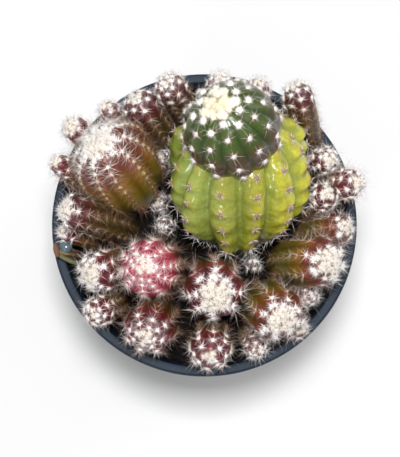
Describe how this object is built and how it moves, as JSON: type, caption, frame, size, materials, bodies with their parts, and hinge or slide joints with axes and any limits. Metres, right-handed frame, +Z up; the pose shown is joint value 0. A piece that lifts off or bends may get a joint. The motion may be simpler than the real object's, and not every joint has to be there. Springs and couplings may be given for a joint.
{
  "type": "potted peanut cactus",
  "caption": "Round nursery pot of soil with a squat ribbed main stem, a younger round head on its top and a crowd of small spiny stems leaning out over the rim.",
  "frame": {"origin": "middle of the pot's flat underside, on the surface it stands on", "axes": "+Z up through the middle of the pot; -Y is the side of the main stem's foot, +Y the side it leans to"},
  "size_m": [0.1043, 0.1003, 0.1424],
  "materials": {
    "pot_plastic": "injection-moulded polypropylene, dark slate grey, smooth with a faint satin sheen",
    "potting_soil": null,
    "main_stem_flesh": "waxy yellow-green cactus skin, glossy, with grey-brown areoles",
    "main_head_flesh": "waxy dark green cactus skin with a purple-brown flush, white woolly areoles and cream crown wool",
    "small_stem_flesh": "waxy maroon cactus skin, olive and orange-brown lower down, under white spines",
    "pink_stem_flesh": "waxy crimson-pink cactus skin under white spines",
    "withered_flesh": "dry shrivelled brown and olive skin with a pale bead"
  },
  "bodies": {
    "root": {"pot": "pot_plastic", "soil": "potting_soil", "main_stem": "main_stem_flesh", "main_head": "main_head_flesh", "stem_01": "small_stem_flesh", "stem_02": "small_stem_flesh", "stem_03": "small_stem_flesh", "stem_04": "small_stem_flesh", "stem_05": "small_stem_flesh", "stem_06": "small_stem_flesh", "stem_07": "small_stem_flesh", "stem_08": "small_stem_flesh", "stem_09": "small_stem_flesh", "stem_10": "small_stem_flesh", "stem_11": "pink_stem_flesh", "stem_12": "small_stem_flesh", "stem_13": "small_stem_flesh", "stem_14": "small_stem_flesh", "stem_15": "small_stem_flesh", "stem_16": "small_stem_flesh", "stem_17": "small_stem_flesh", "stem_18": "small_stem_flesh", "stem_19": "small_stem_flesh", "stem_20": "small_stem_flesh", "stem_21": "small_stem_flesh", "stem_22": "small_stem_flesh", "stem_23": "small_stem_flesh", "stem_24": "small_stem_flesh", "stem_25": "small_stem_flesh", "stem_26": "small_stem_flesh", "stem_27": "small_stem_flesh", "stem_28": "small_stem_flesh", "stem_29": "small_stem_flesh", "stem_30": "small_stem_flesh", "withered_stem": "withered_flesh"}
  },
  "joints": []
}
